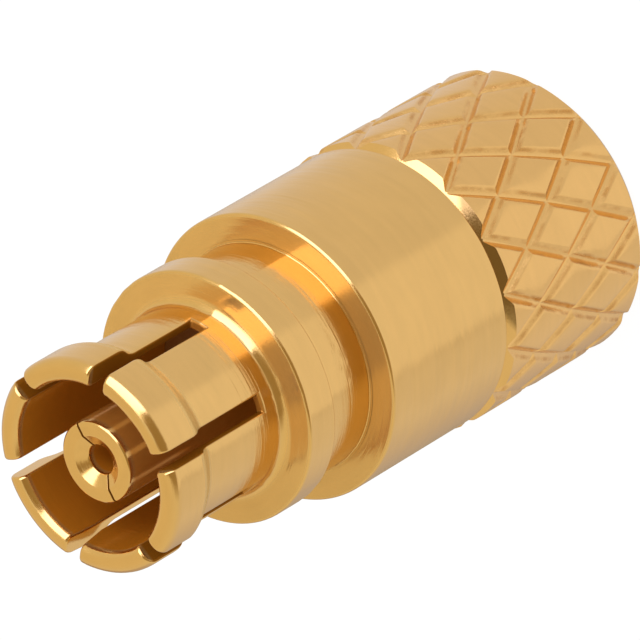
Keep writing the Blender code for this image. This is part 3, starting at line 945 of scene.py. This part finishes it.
world = bpy.data.worlds.new("surround")
world.use_nodes = True
bpy.context.scene.world = world
wire = Wire(world.node_tree)
backing = world.node_tree.nodes["Background"]
seen = wire.node("ShaderNodeLightPath", output="Is Camera Ray")
mirrored = wire.node("ShaderNodeLightPath", output="Is Glossy Ray")
passed = wire.node("ShaderNodeLightPath", output="Is Transmission Ray")
shown = wire.math("MINIMUM", seen + mirrored + passed, 1.0)


def ring(stops):
    """Ramp stops from pairs of a bearing round the axis, in degrees, and a colour."""
    return [(bearing / 360.0 + 0.5, colour) for bearing, colour in stops]


towards = wire.node("ShaderNodeTexCoord", output="Generated")
x, y, z = towards.parts()
bearing = wire.math("ARCTAN2", y, x) * (0.5 / math.pi) + 0.5
low = wire.node("ShaderNodeValToRGB", {"stops": ring(LOW_PANELS)}, {0: bearing})
high = wire.node("ShaderNodeValToRGB", {"stops": ring(HIGH_PANELS)}, {0: bearing})
tent = low.mixed(slope(z, RISE_FROM, RISE_FULL, "SMOOTHSTEP"), high)
tent = tent.mixed(slope(z, TOP_FROM, TOP_FULL, "SMOOTHSTEP"), TOP_TONE)
screen = slope(z, SOFT_EDGE_FROM, SOFT_EDGE_FULL, "SMOOTHSTEP")
for side in SCREEN_SIDES:
    inward = wire.vector("DOT_PRODUCT", towards, side, output="Value")
    screen = screen * slope(inward, SOFT_EDGE_FROM, SOFT_EDGE_FULL, "SMOOTHSTEP")
tent = tent.mixed(screen, SCREEN_TONE)
surround = WORLD_LIGHT + shown * (1.0 - WORLD_LIGHT)
highlight = mirrored * screen * (SCREEN_RADIANCE - 1.0)
wire.feed(backing.inputs["Strength"], surround + highlight)
wire.feed(backing.inputs["Color"], wire.rgb((1.0, 1.0, 1.0, 1.0)).mixed(mirrored, tent))


def looking_from(azimuth_deg, elevation_deg, roll_deg=0.0):
    """The turn of a camera or lamp that looks in from that side.

    Azimuth 0 looks along +Y and grows towards looking along -X, elevation is above the floor, and
    the roll is about the line of sight.
    """
    level = Matrix.Rotation(math.radians(azimuth_deg), 4, "Z")
    tip = Matrix.Rotation(math.radians(90.0 - elevation_deg), 4, "X")
    return level @ tip @ Matrix.Rotation(math.radians(roll_deg), 4, "Z")


def placed(name, data, aim, distance, turn):
    """A camera or lamp at a distance from the point that it looks at."""
    obj = bpy.data.objects.new(name, data)
    bpy.context.scene.collection.objects.link(obj)
    back = Matrix.Translation((0.0, 0.0, distance * MM))
    obj.matrix_world = Matrix.Translation([value * MM for value in aim]) @ turn @ back
    return obj


lamp_data = bpy.data.lights.new("soft_lamp", "AREA")
lamp_data.size = LAMP_SIZE * MM
lamp_data.energy = LAMP_RADIANCE * math.pi * (LAMP_SIZE * MM) ** 2
lamp_turn = looking_from(LAMP_AZIMUTH_DEG, LAMP_ELEVATION_DEG)
lamp = placed("soft_lamp", lamp_data, LAMP_AIM, LAMP_DISTANCE, lamp_turn)
lamp.visible_glossy = False


# Camera: a long lens close above the fingers' side, rolled so that the part points to the lower
# left as in the photograph.

SENSOR_WIDTH = 36.0
LENS = 516.06
NEAREST, FARTHEST = 1.0, 10000.0
CAMERA_AIM = (-0.107, 0.022, 3.905)
CAMERA_DISTANCE = 110.71
CAMERA_AZIMUTH_DEG = 168.5
CAMERA_ELEVATION_DEG = 42.93
CAMERA_ROLL_DEG = -120.47

camera_data = bpy.data.cameras.new("camera")
camera_data.sensor_width = SENSOR_WIDTH
camera_data.lens = LENS
camera_data.clip_start = NEAREST * MM
camera_data.clip_end = FARTHEST * MM
camera_turn = looking_from(CAMERA_AZIMUTH_DEG, CAMERA_ELEVATION_DEG, CAMERA_ROLL_DEG)
camera = placed("camera", camera_data, CAMERA_AIM, CAMERA_DISTANCE, camera_turn)
bpy.context.scene.camera = camera
bpy.context.scene.view_settings.view_transform = "Standard"
